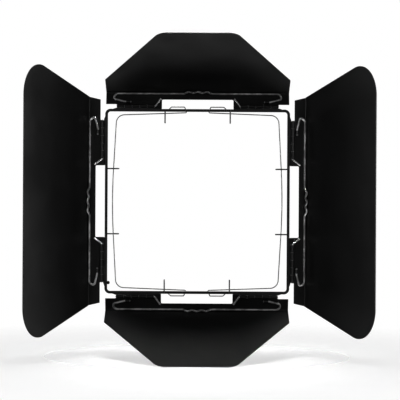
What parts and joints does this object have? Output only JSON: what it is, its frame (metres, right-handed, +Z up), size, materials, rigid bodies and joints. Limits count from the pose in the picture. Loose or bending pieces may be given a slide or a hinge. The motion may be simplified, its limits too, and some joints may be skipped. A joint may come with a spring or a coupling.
{
  "type": "barn door attachment",
  "caption": "Square sheet-metal frame that springs onto a lamp reflector's rim, with hinged black leaves that fold in over the opening to shape the light.",
  "frame": {"origin": "centre of the frame's rear face, on the lamp's axis, where the reflector's rim enters", "axes": "+X to the right seen from in front, +Z up, the light leaves along -Y, and +Y points back into the reflector"},
  "size_m": [0.366, 0.1376, 0.3461],
  "materials": {
    "frame_sheet": "satin black powder coat over aluminium sheet",
    "leaf_sheet": "satin black powder coat over aluminium sheet",
    "clip_wire": "satin black steel wire",
    "pin_wire": "blackened steel wire",
    "spring_wire": "blackened spring steel wire",
    "stud": "black painted steel"
  },
  "bodies": {
    "frame": {"frame": "frame_sheet", "top_rim_fingers": "spring_wire", "bottom_rim_fingers": "spring_wire", "left_rim_fingers": "spring_wire", "right_rim_fingers": "spring_wire", "locating_stud": "stud"},
    "top_leaf": {"top_leaf": "leaf_sheet", "top_hinge_pins": "pin_wire"},
    "top_clip": {"top_filter_clip": "clip_wire"},
    "bottom_leaf": {"bottom_leaf": "leaf_sheet", "bottom_hinge_pins": "pin_wire"},
    "bottom_clip": {"bottom_filter_clip": "clip_wire"},
    "left_leaf": {"left_leaf": "leaf_sheet", "left_hinge_pins": "pin_wire"},
    "left_clip": {"left_filter_clip": "clip_wire"},
    "right_leaf": {"right_leaf": "leaf_sheet", "right_hinge_pins": "pin_wire"},
    "right_clip": {"right_filter_clip": "clip_wire"},
    "left_spring": {"left_retaining_spring": "spring_wire"},
    "right_spring": {"right_retaining_spring": "spring_wire"}
  },
  "joints": [
    {"name": "top_leaf_hinge", "type": "hinge", "parent": "frame", "child": "top_leaf", "pos_m": [0, -0.0125, 0.105], "axis": [1, 0, 0], "range_deg": [-49.5, 112.5]},
    {"name": "top_clip_pivot", "type": "hinge", "parent": "top_leaf", "child": "top_clip", "pos_m": [0, -0.01069, 0.10988], "axis": [1, 0, 0], "range_deg": [0, 12], "stiffness_Nm_per_rad": 0.4, "springref_deg": -8.59},
    {"name": "bottom_leaf_hinge", "type": "hinge", "parent": "frame", "child": "bottom_leaf", "pos_m": [0, -0.0125, -0.105], "axis": [-1, 0, 0], "range_deg": [-51.5, 113.5]},
    {"name": "bottom_clip_pivot", "type": "hinge", "parent": "bottom_leaf", "child": "bottom_clip", "pos_m": [0, -0.01087, -0.10994], "axis": [-1, 0, 0], "range_deg": [0, 12], "stiffness_Nm_per_rad": 0.4, "springref_deg": -8.59},
    {"name": "left_leaf_hinge", "type": "hinge", "parent": "frame", "child": "left_leaf", "pos_m": [-0.105, -0.016, 0], "axis": [0, 0, 1], "range_deg": [-53, 95]},
    {"name": "left_clip_pivot", "type": "hinge", "parent": "left_leaf", "child": "left_clip", "pos_m": [-0.1098, -0.01398, 0], "axis": [0, 0, 1], "range_deg": [0, 12], "stiffness_Nm_per_rad": 0.4, "springref_deg": -8.59},
    {"name": "right_leaf_hinge", "type": "hinge", "parent": "frame", "child": "right_leaf", "pos_m": [0.105, -0.016, 0], "axis": [0, 0, -1], "range_deg": [-50.5, 83.5]},
    {"name": "right_clip_pivot", "type": "hinge", "parent": "right_leaf", "child": "right_clip", "pos_m": [0.1097, -0.01378, 0], "axis": [0, 0, -1], "range_deg": [0, 12], "stiffness_Nm_per_rad": 0.4, "springref_deg": -8.59},
    {"name": "left_spring_slide", "type": "slide", "parent": "frame", "child": "left_spring", "axis": [-1, 0, 0], "range_m": [0, 0.003], "stiffness_N_per_m": 500, "springref_m": -0.003},
    {"name": "right_spring_slide", "type": "slide", "parent": "frame", "child": "right_spring", "axis": [1, 0, 0], "range_m": [0, 0.003], "stiffness_N_per_m": 500, "springref_m": -0.003}
  ]
}
